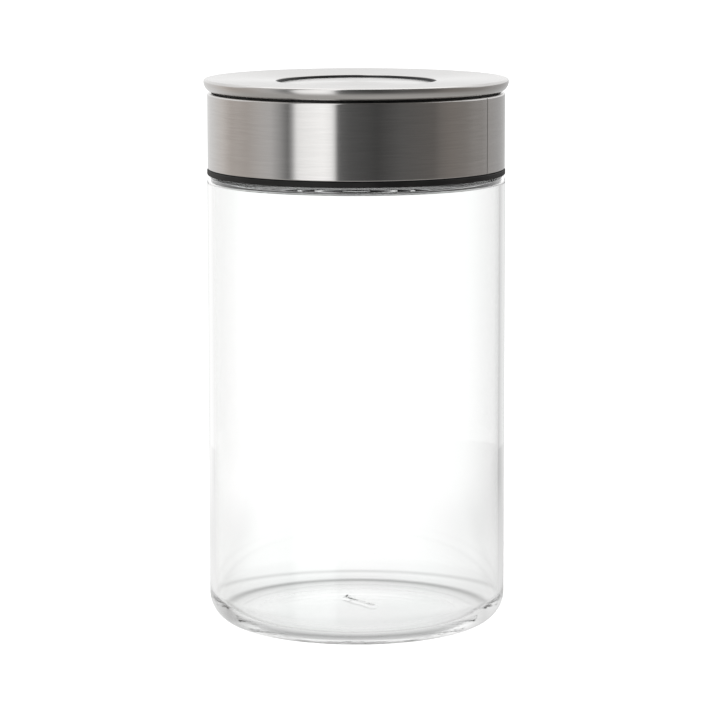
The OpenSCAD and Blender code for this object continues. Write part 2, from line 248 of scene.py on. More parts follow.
# %% Brushed steel
def brushed_steel(name, colour, roughness, anisotropic, streak=5.0, pitch=2600.0, shading=0.03, swing=0.015):
    """Stainless sheet brushed round the axis: streaks per radian, and grain lines per metre.

    The grain lightens and darkens the colour by the share in shading, and moves the roughness by swing.
    """
    material, tree, shader, output = start_finish(
        name, Metallic=1.0, Anisotropic=anisotropic, Anisotropic_Rotation=0.25)
    place = add(tree, "TexCoord").outputs["Object"]
    flat = add(tree, "VectorMath", {0: place, 1: (1, 1, 0)}, operation="MULTIPLY").outputs[0]
    radius = add(tree, "VectorMath", {0: flat}, operation="LENGTH").outputs["Value"]
    around = add(tree, "VectorMath", {0: flat}, operation="NORMALIZE").outputs[0]
    around = add(tree, "VectorMath", {0: around, 1: (streak, streak, 0)}, operation="MULTIPLY").outputs[0]
    height = add(tree, "VectorMath", {0: place, 1: (0, 0, pitch)}, operation="MULTIPLY").outputs[0]
    where = add(tree, "VectorMath", {0: around, 1: height}, operation="ADD").outputs[0]
    depth = add(tree, "Math", {0: radius, 1: pitch}, operation="MULTIPLY").outputs[0]
    grain = add(tree, "TexNoise", {"Vector": where, "W": depth, "Scale": 1.0, "Detail": 3.0,
                                   "Roughness": 0.5}, noise_dimensions="4D").outputs[0]
    cloud = add(tree, "TexNoise", {"Vector": place, "Scale": 55.0, "Detail": 2.0}).outputs[0]
    dark = tuple(c * (1 - shading) for c in colour)
    light = tuple(min(1.0, c * (1 + shading)) for c in colour)
    tint = ramp(tree, grain, [(0.3, dark), (0.7, light)])
    tree.links.new(tint.outputs["Color"], shader.inputs["Base Color"])
    both = add(tree, "Math", {0: grain, 1: cloud}, operation="ADD").outputs[0]
    gloss = add(tree, "MapRange", {"Value": both, "From Min": 0.7, "From Max": 1.3,
                                   "To Min": roughness - swing, "To Max": roughness + swing}).outputs[0]
    tree.links.new(gloss, shader.inputs["Roughness"])
    grain_way = add(tree, "Tangent", direction_type="RADIAL", axis="Z").outputs[0]
    tree.links.new(grain_way, shader.inputs["Tangent"])
    bump = add(tree, "Bump", {"Height": grain, "Strength": 0.02, "Distance": 0.00001}).outputs[0]
    tree.links.new(bump, shader.inputs["Normal"])
    print(name, "is ready")
    return material


band_steel = brushed_steel("band_steel", (0.62, 0.61, 0.60), 0.15, 0.88)
cover_steel = brushed_steel("cover_steel", (0.62, 0.61, 0.60), 0.20, 0.75)

# %% [markdown]
# ## Clear glass
# Soda-lime glass bends light by an index of 1.52 and is almost colourless. Blown glass is never quite flat:
# a slow ripple, about ten micrometres high, makes the highlights swim. A broad noise in a Bump node gives it.
# Real glass also lets light through to light what stands behind it. A path tracer would need many samples
# to find the lamps through two walls, so shadow and diffuse rays meet a transparent shader instead.

# %% Clear glass
def clear_glass(name):
    """Clear glass with a slow ripple and the faintest green depth."""
    material, tree, shader, output = start_finish(
        name, Roughness=0.0, IOR=1.52, Transmission_Weight=1.0)
    place = add(tree, "TexCoord").outputs["Object"]
    slow = add(tree, "VectorMath", {0: place, 1: (1, 1, 0.35)}, operation="MULTIPLY").outputs[0]
    ripple = add(tree, "TexNoise", {"Vector": slow, "Scale": 38.0, "Detail": 1.0}).outputs[0]
    tint = ramp(tree, ripple, [(0.3, (0.985, 0.995, 0.99)), (0.7, (1, 1, 1))])
    tree.links.new(tint.outputs["Color"], shader.inputs["Base Color"])
    bump = add(tree, "Bump", {"Height": ripple, "Strength": 0.12, "Distance": 0.00008}).outputs[0]
    tree.links.new(bump, shader.inputs["Normal"])
    path = add(tree, "LightPath")
    passing = add(tree, "Math", {0: path.outputs["Is Shadow Ray"], 1: path.outputs["Is Diffuse Ray"]},
                  operation="MAXIMUM").outputs[0]
    open_air = add(tree, "BsdfTransparent").outputs[0]
    tree.links.new(mixed(tree, passing, shader.outputs[0], open_air), output.inputs["Surface"])
    print(name, "is ready")
    return material


glass = clear_glass("clear_glass")

# %% [markdown]
# ## Plastics and silicone
# Moulded ABS has a spark-eroded texture: a fine pebble that breaks up the gloss. Silicone is duller and
# softer, with a trace of bloom that lightens it in patches. Acetal is a dense white plastic with a waxy
# depth, so some light enters it and comes out again. A finish could be built for each by hand, but they
# differ only in colour, pebble and gloss, so one function serves all the moulded parts. The scattering
# radii stay nearly equal, because unequal ones turn into coloured noise in thin silicone.

# %% Moulded plastics and silicone
def moulded(name, dark, light, roughness, pebble=2400.0, relief=0.15, **values):
    """A moulded finish: patchy colour between two shades, and a pebbled skin at that many grains a metre."""
    material, tree, shader, output = start_finish(name, **values)
    place = add(tree, "TexCoord").outputs["Object"]
    patch = add(tree, "TexNoise", {"Vector": place, "Scale": 90.0, "Detail": 4.0}).outputs[0]
    tint = ramp(tree, patch, [(0.35, dark), (0.65, light)])
    tree.links.new(tint.outputs["Color"], shader.inputs["Base Color"])
    tree.links.new(spread(tree, patch, roughness - 0.08, roughness + 0.08), shader.inputs["Roughness"])
    skin = add(tree, "TexNoise", {"Vector": place, "Scale": pebble, "Detail": 2.0}).outputs[0]
    bump = add(tree, "Bump", {"Height": skin, "Strength": relief, "Distance": 0.00004}).outputs[0]
    tree.links.new(bump, shader.inputs["Normal"])
    print(name, "is ready")
    return material


black_abs = moulded("black_abs", (0.010, 0.010, 0.011), (0.020, 0.020, 0.021), 0.42)
black_silicone = moulded("black_silicone", (0.004, 0.004, 0.004), (0.009, 0.0085, 0.008), 0.60, 1500.0, 0.08,
                         Specular_IOR_Level=0.3)
frosted_silicone = moulded("frosted_silicone", (0.78, 0.79, 0.78), (0.88, 0.89, 0.88), 0.48, 1200.0, 0.1,
                           IOR=1.41, Transmission_Weight=0.25, Subsurface_Weight=0.4, Subsurface_Scale=0.0015,
                           Subsurface_Radius=(1.0, 1.0, 1.0))
white_acetal = moulded("white_acetal", (0.80, 0.79, 0.75), (0.87, 0.86, 0.83), 0.34, 1800.0, 0.06,
                       Subsurface_Weight=0.3, Subsurface_Scale=0.0015, Subsurface_Radius=(1.0, 0.9, 0.8))

# %% [markdown]
# ## Small steel parts
# The screws and the stem are plated, and the spring is drawn wire. Cutting and drawing leave fine marks that
# follow the tool, so plain noise would look wrong on them. Here the noise is squeezed along each axis by how
# often the marks come that way, which turns its blots into lines.

# %% Plated and drawn steel
def worked_metal(name, dark, light, roughness, marks):
    """Small steel parts: marks is how often tool marks come, per metre, along x, y and z."""
    material, tree, shader, output = start_finish(name, Metallic=1.0)
    place = add(tree, "TexCoord").outputs["Object"]
    along = add(tree, "VectorMath", {0: place, 1: marks}, operation="MULTIPLY").outputs[0]
    lines = add(tree, "TexNoise", {"Vector": along, "Scale": 1.0, "Detail": 3.0}).outputs[0]
    tint = ramp(tree, lines, [(0.3, dark), (0.7, light)])
    tree.links.new(tint.outputs["Color"], shader.inputs["Base Color"])
    tree.links.new(spread(tree, lines, roughness - 0.07, roughness + 0.07), shader.inputs["Roughness"])
    bump = add(tree, "Bump", {"Height": lines, "Strength": 0.1, "Distance": 0.00003}).outputs[0]
    tree.links.new(bump, shader.inputs["Normal"])
    print(name, "is ready")
    return material


plated_steel = worked_metal("plated_steel", (0.62, 0.61, 0.58), (0.76, 0.75, 0.72), 0.26, (700, 700, 6000))
spring_steel = worked_metal("spring_steel", (0.42, 0.41, 0.40), (0.58, 0.57, 0.55), 0.32, (900, 900, 3500))

# %% [markdown]
# ## The glass jar
# The jar is blown in a mould: a straight round body, a thick floor with a push-up so that it stands on a
# ring, a tight shoulder and a plain neck with a bead that the collar snaps over. The rim is melted smooth.
# A Solidify modifier would give one thickness all over, but blown glass is thicker in its base. So one
# closed outline draws all of it, from the push-up round the outside, over the lip and back down inside.
# On the floor lies the shear mark, a crease left where the molten gob was cut. The lift function raises it
# out of the mesh, because a painted crease wouldn't bend the light.

# %% Outline of the jar
wall = 2.0
floor_t = 3.2
corner_r = 10.0
push_up = 1.4
neck_h = 24.5
shoulder_r = 2.4
shoulder_in = 0.8
neck_in = 5.0
neck_wall = 2.4
neck_fillet = 1.0
bead_r = 0.8
bead_up = 13.9
bead_sunk = 0.1
foot_w = 6.0
neck_r = jar_r - neck_in
mouth_r = neck_r - neck_wall
shoulder_z = lip_z - neck_h
bead_z = shoulder_z + bead_up
floor_w = jar_r - corner_r
foot_in = floor_w - foot_w


def dome_radius(half_width, rise):
    """Radius of a dome that rises by that much over that half width."""
    return (half_width ** 2 + rise ** 2) / (2 * rise)


under_r = dome_radius(foot_in, push_up)
floor_r = dome_radius(floor_w, push_up)
half_under = math.degrees(math.asin(foot_in / under_r))
half_floor = math.degrees(math.asin(floor_w / floor_r))
lip_r = neck_wall / 2
jar_outline = (
    arc((0, push_up - under_r), under_r, 90, 90 - half_under, 24)
    + arc((floor_w, corner_r), corner_r, -90, 0, 32)
    + arc((jar_r - shoulder_r, shoulder_z - shoulder_r), shoulder_r, 0, 90, 20)
    + arc((neck_r + neck_fillet, shoulder_z + neck_fillet), neck_fillet, 270, 180, 8)
    + arc((neck_r - bead_sunk, bead_z), bead_r, -83, 83, 12)
    + arc((neck_r - lip_r, lip_z - lip_r), lip_r, 0, 180, 20)
    + arc((mouth_r + wall + neck_fillet, shoulder_z + neck_fillet), wall + neck_fillet, 180, 270, 14)
    + arc((jar_r - wall - shoulder_in, shoulder_z - wall - shoulder_in), shoulder_in, 90, 0, 12)
    + arc((floor_w, floor_t + corner_r - wall), corner_r - wall, 0, -90, 28)
    + arc((0, floor_t + push_up - floor_r), floor_r, 90 - half_floor, 90, 110)
)
print("jar outline:", len(jar_outline), "points; shoulder at", shoulder_z)

# %% [markdown]
# The crease is a gentle S about 16 mm long, with a small knot at its far end. Its height falls off on both
# sides as a smooth bell, which is what surface tension leaves behind on hot glass.

# %% The crease in the floor, and the jar
crease = [(-3.2, 12.6), (-2.2, 10.0), (-0.6, 7.6), (1.0, 5.8), (2.4, 3.8), (3.8, 1.6), (5.2, -0.4)]
crease_h = 0.48
crease_w = 0.85
knot_h = 0.5
knot_w = 1.1
crease_reach = 30


def shear_mark(x, y, z):
    """How much higher the glass stands at a point of the floor, in millimetres."""
    if not floor_t - 0.1 < z < floor_t + push_up + 0.1 or math.hypot(x, y) > crease_reach:
        return 0.0
    nearest = 1e9
    for (ax, ay), (bx, by) in zip(crease, crease[1:]):
        run = (bx - ax) ** 2 + (by - ay) ** 2
        t = min(1, max(0, ((x - ax) * (bx - ax) + (y - ay) * (by - ay)) / run))
        nearest = min(nearest, math.hypot(x - ax - (bx - ax) * t, y - ay - (by - ay) * t))
    knot = math.hypot(x - crease[0][0], y - crease[0][1])
    return crease_h * math.exp(-(nearest / crease_w) ** 2) + knot_h * math.exp(-(knot / knot_w) ** 2)


jar = turned("jar_glass", braced(jar_outline), steps=320, lift=shear_mark, sharp=60)
hand_over(jar, "glass_jar", "jar", glass)

# %% [markdown]
# ## The ring under the collar
# A black silicone ring fills the gap between the glass shoulder and the collar, and shows as a dark line
# under the steel. It stands a hair proud of the steel and just inside the glass. A torus squashed flat would
# do from far off, but the real ring is a square moulding with soft corners, so it is turned from an outline.

# %% Shoulder gasket
gasket_gap = 0.05
gasket_clear = 0.2
gasket_soft = 0.35
gasket_low = shoulder_z + gasket_gap
gasket_top = band_z - gasket_gap
gasket_r = jar_r - gasket_gap
gasket_in = neck_r + neck_fillet + gasket_clear
gasket_outline = (
    [(gasket_in, gasket_low)]
    + arc((gasket_r - gasket_soft, gasket_low + gasket_soft), gasket_soft, -90, 0, 10)
    + arc((gasket_r - gasket_soft, gasket_top - gasket_soft), gasket_soft, 0, 90, 10)
    + [(gasket_in, gasket_top)]
)
gasket = turned("shoulder_ring", braced(gasket_outline, hold=0.08))
hand_over(gasket, "shoulder_gasket", "jar", black_silicone)

# %% [markdown]
# ## The steel band
# The band is one strip rolled into a hoop, with both edges turned in round a tight corner. Its ends meet in
# a butt seam. A plain lathe can't leave a seam, so the strip is swept by hand: it stops short on both sides
# of the seam, and its last fraction of a millimetre rolls inwards. The steps are short near the seam, where
# the sheet bends, and even over the rest.

# %% Steel band with its butt seam
band_t = 0.5
curl = 0.6
curl_w = 1.4
seam_angle = -30.3
seam_gap = 0.09
seam_roll = 0.35
seam_drop = 0.16


def band_section():
    """The strip across its width: outer face, both turned edges, inner face."""
    inner = band_r - curl_w
    inside = band_r - band_t
    bend = curl - band_t
    section = (
        [(inner, band_z)]
        + arc((band_r - curl, band_z + curl), curl, -90, 0, 14)
        + arc((band_r - curl, band_top - curl), curl, 0, 90, 14)
        + [(inner, band_top), (inner, band_top - band_t)]
        + arc((inside - bend, band_top - curl), bend, 90, 0, 4)
        + arc((inside - bend, band_z + curl), bend, 0, -90, 4)
        + [(inner, band_z + band_t)]
    )
    return braced(section, longest=3.0, hold=0.06)


def rolled_band(name, section, steps=300):
    """The section swept once round from one side of the seam to the other, rolled inwards at both ends."""
    beside = [seam_gap / 2, 0.10, 0.15, 0.21, 0.28, 0.36, 0.46, 0.7, 1.2]
    start = math.radians(seam_angle)
    turns = [d / band_r for d in beside]
    even = [turns[-1] + (2 * math.pi - 2 * turns[-1]) * i / steps for i in range(1, steps)]
    turns = turns + even + [2 * math.pi - t for t in reversed(turns)]
    shape = bmesh.new()
    rows = []
    for turn in turns:
        off = min(turn, 2 * math.pi - turn) * band_r
        t = min(1, max(0, (off - seam_gap / 2) / seam_roll))
        drop = seam_drop * (1 - math.sqrt(1 - (1 - t) ** 2))
        a = start + turn
        rows.append([shape.verts.new(((r - drop) * math.cos(a) * MM, (r - drop) * math.sin(a) * MM, z * MM))
                     for r, z in section])
    count = len(section)
    for one, two in zip(rows, rows[1:]):
        for i in range(count):
            j = (i + 1) % count
            shape.faces.new((one[i], one[j], two[j], two[i]))
    shape.faces.new(rows[0])
    shape.faces.new(list(reversed(rows[-1])))
    bmesh.ops.triangulate(shape, faces=[f for f in shape.faces if len(f.verts) > 4])
    return settled(name, shape, sharp=50)


band = rolled_band("steel_band", band_section())
hand_over(band, "collar_band", "jar", band_steel)

# %% [markdown]
# ## The seat ring
# The seat ring is a soft cushion on the glass lip, which shows only when the lid is out. Two shallow grooves
# in its top let it give when the lid comes down. They are half circles in the outline, so the lathe cuts
# them as it turns, and no second object has to be taken away.

# %% Seat ring
seat_r, seat_low, seat_high = sizes("seat_ring")
seat_clear = 0.4
seat_soft = 0.4
groove_r = 0.35
groove_out = 0.8
seat_in = mouth_r + seat_clear
seat_mid = (seat_in + seat_r) / 2
seat_outline = (
    arc((seat_in + seat_soft, seat_low + seat_soft), seat_soft, 180, 270, 8)
    + arc((seat_r - seat_soft, seat_low + seat_soft), seat_soft, -90, 0, 8)
    + arc((seat_r - seat_soft, seat_high - seat_soft), seat_soft, 0, 90, 8)
    + arc((seat_mid + groove_out, seat_high), groove_r, 0, -180, 10)
    + arc((seat_mid - groove_out, seat_high), groove_r, 0, -180, 10)
    + arc((seat_in + seat_soft, seat_high - seat_soft), seat_soft, 90, 180, 8)
)
seat = turned("seat_cushion", braced(seat_outline, hold=0.08))
hand_over(seat, "seat_ring", "jar", black_silicone)

# %% [markdown]
# ## The lid's steel cover
# The cover is one pressing. From the hole outwards it rises by less than a millimetre, turns over a small
# radius at the top edge, then curves in underneath in a bigger arc that fingers can lift by, and ends in a
# rounded hem. Round the hole the sheet is drawn down into a lip. A surface without thickness would do from
# above, but the hem and the hole show the sheet's edge, so the outline runs along both of its faces.

# %% Cover
sheet_t = 0.6
rim_side = 3.6
rim_edge = 0.95
rim_turn = 68
hem = 0.45
hole_r = 26.8
lip_edge = 0.3
lip_drop = 0.9
dish = 0.75
rim_z = rim_top - rim_edge
side_c = rim_r - rim_side
edge_c = rim_r - rim_edge
hole_z = rim_top - dish
lip_end = hole_z - lip_drop
hem_out = rim_side - hem
hem_c = (side_c + hem_out * math.cos(math.radians(rim_turn)),
         rim_z - hem_out * math.sin(math.radians(rim_turn)))
hem_in = math.degrees(math.acos((hem_c[0] - hem - side_c) / (rim_side - sheet_t)))
cover_outline = (
    [(hole_r, lip_end)]
    + arc((hole_r + lip_edge, hole_z - lip_edge), lip_edge, 180, 92, 8)
    + arc((edge_c, rim_z), rim_edge, 90, 0, 16)
    + arc((side_c, rim_z), rim_side, 0, -rim_turn, 28)
    + arc(hem_c, hem, -rim_turn, -180, 12)
    + arc((side_c, rim_z), rim_side - sheet_t, -hem_in, 0, 20)
    + arc((edge_c, rim_z), rim_edge - sheet_t, 0, 90, 8)
    + [(hole_r + sheet_t, hole_z - sheet_t), (hole_r + sheet_t, lip_end)]
)
cover = turned("steel_cover", braced(cover_outline, longest=3.0, hold=0.06), steps=320)
hand_over(cover, "lid_cover", "lid", cover_steel)

# %% [markdown]
# ## The button
# The button's cap is the same steel, slightly domed, with a rounded edge and a short skirt that slides
# behind the cover's lip. A flat disc would show one even patch of the room. The dome is a true arc, so the
# light rolls over it evenly.

# %% Button cap
cap_dome = 0.5
cap_t = 0.5
cap_edge = 0.7
skirt = 3.0
cap_z = cap_high - cap_dome
skirt_end = cap_z - skirt
dome_r = dome_radius(cap_r - cap_edge, cap_dome)
half_dome = math.degrees(math.asin((cap_r - cap_edge) / dome_r))
cap_outline = (
    arc((0, cap_z + cap_dome - dome_r), dome_r, 90, 90 - half_dome, 16)
    + arc((cap_r - cap_edge, cap_z - cap_edge), cap_edge, 88, 0, 12)
    + [(cap_r, skirt_end), (cap_r - cap_t, skirt_end)]
    + [(cap_r - cap_t, cap_z - cap_edge), (cap_r - cap_edge, cap_z - cap_t)]
    + [(0, cap_z - cap_t)]
)
cap = turned("button_cap_steel", braced(cap_outline, longest=3.0, hold=0.06), steps=256)
hand_over(cap, "button_cap", "button", cover_steel)

# %% [markdown]
# ## The plug's gasket
# The sleeve round the plug is frosted silicone with three ribs. It is drawn as the pushers hold it, pressed
# towards the neck. The ribs come from a loop that adds one half circle after another to the outline.
# Silicone this thin lets light through, so its finish mixes transmission and scattering.

# %% Plug gasket
rib_r, sleeve_low, sleeve_high = sizes("plug_gasket")
plug_gap = 2.9
sleeve_t = 1.2
rib = 0.9
rib_step = 4.0
rib_up = 3.0
sleeve_in = mouth_r - plug_gap
sleeve_out = sleeve_in + sleeve_t
rib_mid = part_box("pusher_1")[0][2] / MM + rib_up
sleeve_outline = [(sleeve_in, sleeve_low), (sleeve_out, sleeve_low)]
for rib_z in (rib_mid - rib_step, rib_mid, rib_mid + rib_step):
    sleeve_outline += [(sleeve_out, rib_z - rib)]
    sleeve_outline += arc((rib_r - rib, rib_z), rib, -90, 90, 16)
    sleeve_outline += [(sleeve_out, rib_z + rib)]
sleeve_outline += [(sleeve_out, sleeve_high), (sleeve_in, sleeve_high)]
sleeve = turned("plug_sleeve", braced(sleeve_outline, hold=0.08))
hand_over(sleeve, "plug_gasket", "lid", frosted_silicone)

# %% [markdown]
# ## The return spring
# A compression spring has closed ends: the last turn at each end lies flat on its neighbour, and only the
# turns between them are open. A Screw modifier winds every turn at one pitch, so here the wire is swept
# along its path by hand. It is fixed to no moving body.

# %% Return spring
spring_low, spring_high = (corner[2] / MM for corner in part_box("return_spring"))
wire_r = 0.6
coil_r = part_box("return_spring")[1][0] / MM - wire_r
coil_turns = 4.5
dead_turns = 0.75
wire_gap = 0.02
touching = 2 * wire_r + wire_gap


def coil_height(turn):
    """Height of the wire's centre after that many turns."""
    low = spring_low + wire_r
    high = spring_high - wire_r
    closed = dead_turns * touching
    if turn < dead_turns:
        return low + turn * touching
    if turn > coil_turns - dead_turns:
        return high - (coil_turns - turn) * touching
    open_share = (turn - dead_turns) / (coil_turns - 2 * dead_turns)
    return low + closed + (high - low - 2 * closed) * open_share


def wound_spring(name, steps=72, sides=16):
    """A round wire swept along the coil, closed by a flat cap at each end."""
    shape = bmesh.new()
    rows = []
    for i in range(round(coil_turns * steps) + 1):
        turn = i / steps
        a = 2 * math.pi * turn
        row = []
        for j in range(sides):
            b = 2 * math.pi * j / sides
            r = coil_r + wire_r * math.cos(b)
            z = coil_height(turn) + wire_r * math.sin(b)
            row.append(shape.verts.new((r * math.cos(a) * MM, r * math.sin(a) * MM, z * MM)))
        rows.append(row)
    for one, two in zip(rows, rows[1:]):
        for j in range(sides):
            k = (j + 1) % sides
            shape.faces.new((one[j], one[k], two[k], two[j]))
    shape.faces.new(rows[0])
    shape.faces.new(list(reversed(rows[-1])))
    return settled(name, shape, sharp=50)


spring = wound_spring("coil_spring")
hand_over(spring, "return_spring", None, spring_steel)
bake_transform(spring)

# %% [markdown]
# ## Screws
# The screws hold the plug together from below and the frame from above. A pan head has a domed edge and a
# cross recess with sloping walls, and its shank carries a real helical thread. The head is a fine polar
# grid whose points sink inside the cross. On the shank, the radius follows a wave that climbs as it turns.

# %% A pan-head screw
cross_arm = 0.6
cross_half = 0.42
cross_deep = 0.75
thread_deep = 0.26
point_in = 0.2


def cross_depth(x, y, head_r, head_h):
    """How deep a cross recess is at a point of the head: full in the middle, none past its edges."""
    along, across = max(abs(x), abs(y)), min(abs(x), abs(y))
    side_wall = min(1, max(0, (cross_half - across) / 0.16))
    end_wall = min(1, max(0, (head_r * cross_arm - along) / 0.5))
    return head_h * cross_deep * side_wall * end_wall


def screw(shape, centre, head_z, up, head_r, head_h, shank_r, shank_h, pitch=0.9):
    """Adds a screw to the bmesh: its head's face at head_z, its shank along up, which is 1 or -1."""
    steps = 48
    profile = [(head_r * i / 14 * 0.93, 0.0, 0) for i in range(1, 15)]
    profile += [(head_r * 0.985, head_h * 0.1, 0), (head_r, head_h * 0.25, 0), (head_r, head_h, 0)]
    profile += [(shank_r, head_h, 0)]
    thread_steps = max(8, round(shank_h / pitch * 8))
    profile += [(shank_r, head_h + shank_h * i / thread_steps, 1) for i in range(1, thread_steps + 1)]
    tip = shape.verts.new((centre[0] * MM, centre[1] * MM, (head_z + up * (head_h + shank_h)) * MM))
    sink = cross_depth(0, 0, head_r, head_h)
    middle = shape.verts.new((centre[0] * MM, centre[1] * MM, (head_z + up * sink) * MM))
    rings = []
    for radius, height, threaded in profile:
        ring = []
        for i in range(steps):
            a = 2 * math.pi * i / steps
            r = radius
            if threaded:
                phase = ((height - head_h) / pitch - a / (2 * math.pi)) % 1
                fade = min(1, (head_h + shank_h - height) / 0.8, (height - head_h) / 0.4)
                fade = max(0, fade)
                r -= thread_deep * abs(2 * phase - 1) * fade + point_in * (1 - fade)
            x, y = r * math.cos(a), r * math.sin(a)
            z = height + (cross_depth(x, y, head_r, head_h) if height == 0 else 0)
            ring.append(shape.verts.new(((centre[0] + x) * MM, (centre[1] + y) * MM, (head_z + up * z) * MM)))
        rings.append(ring)
    for one, two in zip(rings, rings[1:]):
        for i in range(steps):
            j = (i + 1) % steps
            shape.faces.new((one[i], one[j], two[j], two[i]))
    for i in range(steps):
        j = (i + 1) % steps
        shape.faces.new((middle, rings[0][j], rings[0][i]))
        shape.faces.new((tip, rings[-1][i], rings[-1][j]))


# %% [markdown]
# Six screws hold the frame from above and six hold the plug's floor from below, all on one ring. One more
# holds the latch sleeve, and one holds the rotor on its stem. They could be copies of one mesh, but a CAD
# part stands for a whole set, so each set is built into one object.

# %% Place the screws
screw_ring = 31.0
screw_turns = [math.radians(30 + 60 * i) for i in range(6)]
ring_places = [(screw_ring * math.cos(a), screw_ring * math.sin(a)) for a in screw_turns]
screw_sets = [
    # name, CAD part, body, places, direction, head radius, head height, shank radius
    ("deck_screws", "frame_screws", "lid", ring_places, -1, 2.4, 1.25, 1.2),
    ("base_screws", "floor_screws", "lid", ring_places, 1, 2.6, 1.15, 1.2),
    ("post_screw", "sleeve_screw", "lid", [(0, 0)], 1, 2.6, 1.15, 1.2),
    ("stem_screw", "rotor_screw", "button", [(0, 0)], 1, 3.4, 0.8, 1.0),
]
for name, node, body, places, up, head_r, head_h, shank_r in screw_sets:
    low, high = (corner[2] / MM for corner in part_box(node))
    shape = bmesh.new()
    for place in places:
        screw(shape, place, low if up > 0 else high, up, head_r, head_h, shank_r, high - low - head_h)
    hand_over(settled(name, shape, sharp=35), node, body, plated_steel)

# %% [markdown]
# ## Parts that keep their CAD shape
# The ribbed frame, the plug, the pushers and the latch are moulded shapes that CAD already draws as they are.
# The closed lid hides nearly all of them, so they keep their meshes and only take a finish.

# %% Finish the moulded and turned CAD parts
kept = {
    "collar_core": black_abs, "lid_frame": black_abs, "plug_shell": black_abs, "plug_floor": black_abs,
    "button_carrier": black_abs, "latch_sleeve": white_acetal, "spreader": white_acetal,
    "latch_rotor": white_acetal, "stem": plated_steel,
}
kept.update({f"pusher_{i}": white_acetal for i in range(1, 7)})
for node, finish in kept.items():
    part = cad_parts[node]
    if not part.data.materials:
        part.data.materials.append(finish)
    for place in part.material_slots:
        place.material = finish
print("finished", len(kept), "CAD parts")

# %% [markdown]
# ## The studio table
# A plain white paper disc stands in for the studio table. It isn't part of the object, so it goes on the
# stage. It is hidden from reflections, because the room's own light from below does its work there, with no
# round edge for the steel to show.

# %% Table top
def studio_floor(radius, below):
    """A thin round white table top."""
    shape = bmesh.new()
    bmesh.ops.create_circle(shape, cap_ends=True, segments=128, radius=radius)
    mesh = bpy.data.meshes.new("studio_floor")
    shape.to_mesh(mesh)
    shape.free()
    top = bpy.data.objects.new("studio_floor", mesh)
    top.location = (0, 0, -below)
    bpy.context.scene.collection.objects.link(top)
    return top


table_r = 0.36
table_drop = 0.0001
floor = studio_floor(table_r, table_drop)
floor.visible_glossy = False
white_paper, tree, shader, output = start_finish("white_paper", Roughness=0.9)
place = add(tree, "TexCoord").outputs["Object"]
fibre = add(tree, "TexNoise", {"Vector": place, "Scale": 400.0}).outputs[0]
tint = ramp(tree, fibre, [(0.3, (0.86, 0.86, 0.86)), (0.7, (0.89, 0.89, 0.89))])
tree.links.new(tint.outputs["Color"], shader.inputs["Base Color"])
floor.data.materials.append(white_paper)
print("table radius, mm:", table_r / MM)

# %% [markdown]
# ## The backdrop behind the glass
# Clear glass has no look of its own: it bends what stands behind it. A product studio puts a white screen
# there with darker card on both sides, and the card draws the edges of the jar. The same is done here for
# rays that have passed through the glass. The screen is a list of bearings, from 0 at the camera to 180
# behind the jar, positive to the right, with how bright it is there. It is white straight behind the jar
# and darkest on the right.

# %% Brightness of the screen by bearing
backdrop = 1.15
screen = [
    (-180, 1.15), (-160, 1.12), (-146, 0.88), (-126, 0.74), (-104, 0.92), (-50, 0.95),
    (50, 0.92), (92, 0.66), (125, 0.42), (148, 0.60), (168, 1.07), (180, 1.15),
]
screen_stops = [((degrees + 180) / 360, (light / backdrop,) * 3) for degrees, light in screen]


def bearing_share(tree, east, north):
    """Where a bearing lies on a ramp from -180 to 180 degrees, as a share from 0 to 1."""
    toward = add(tree, "Math", {0: north, 1: -1.0}, operation="MULTIPLY").outputs[0]
    bearing = add(tree, "Math", {0: east, 1: toward}, operation="ARCTAN2").outputs[0]
    half_turn = {"From Min": -math.pi, "From Max": math.pi}
    return add(tree, "MapRange", {"Value": bearing, **half_turn}).outputs[0]


print("the screen has", len(screen), "stops, darkest", min(light for _, light in screen))

# %% [markdown]
# ## What the glass shows of the table
# The thick base of the jar bends the view so far that it shows the table close round the foot. Rays that
# have passed through the glass meet a table of light instead of the paper. The table is painted darker under
# the jar, with soft rings of painted shadow centred a little behind it. They stand for the jar's shade round
# its foot, and they become the dark lines in the base. The table also darkens towards both sides, and that
# fades out with distance. Further out it takes the screen's brightness by bearing, so that table and screen
# meet without a line. Lines painted on the glass would be simpler, but would not bend with the view.

# %% The table's light through glass
shadow_back = 0.004
# Painted shadow: how bright the table is at each distance from its centre, dimmer under the jar and darkest
# in the thin rings
rings = [
    (0.0, 0.64), (0.036, 0.68), (0.043, 0.64), (0.0452, 0.22), (0.0464, 0.22), (0.048, 0.82),
    (0.059, 0.88), (0.063, 0.66), (0.067, 0.90), (0.10, 0.96), (0.30, 1.0),
]
side_reach = 0.1
sides = [
    (0.0, 0.22), (0.22, 0.15), (0.30, 0.04), (0.45, 0.0),
    (0.60, 0.01), (0.74, 0.12), (0.80, 0.20), (1.0, 0.27),
]
side_fade = (0.17, 0.34)
screen_fade = (0.12, 0.30)

middle = add(tree, "VectorMath", {0: place, 1: (0, shadow_back, 0)}, operation="SUBTRACT").outputs[0]
reach = add(tree, "VectorMath", {0: middle}, operation="LENGTH").outputs["Value"]
# The painted shade under the jar and in its rings, as a colour
painted_shade = ramp(tree, reach, [(r, (v, v, v)) for r, v in rings]).outputs["Color"]
spot = add(tree, "SeparateXYZ", {0: place}).outputs
across = {"From Min": -side_reach, "From Max": side_reach}
share = add(tree, "MapRange", {"Value": spot["X"], **across}).outputs[0]
dimmer = ramp(tree, share, [(x, (v, v, v)) for x, v in sides]).outputs["Color"]
near_jar = eased(tree, reach, *side_fade, low=1.0, high=0.0)
dimmed = add(tree, "Math", {0: dimmer, 1: near_jar}, operation="MULTIPLY").outputs[0]
strength = add(tree, "Math", {0: dimmed, 1: -backdrop, 2: backdrop}, operation="MULTIPLY_ADD").outputs[0]
close_light = add(tree, "Emission", {"Color": painted_shade, "Strength": strength}).outputs[0]
papered = ramp(tree, bearing_share(tree, spot["X"], spot["Y"]), screen_stops, "LINEAR").outputs["Color"]
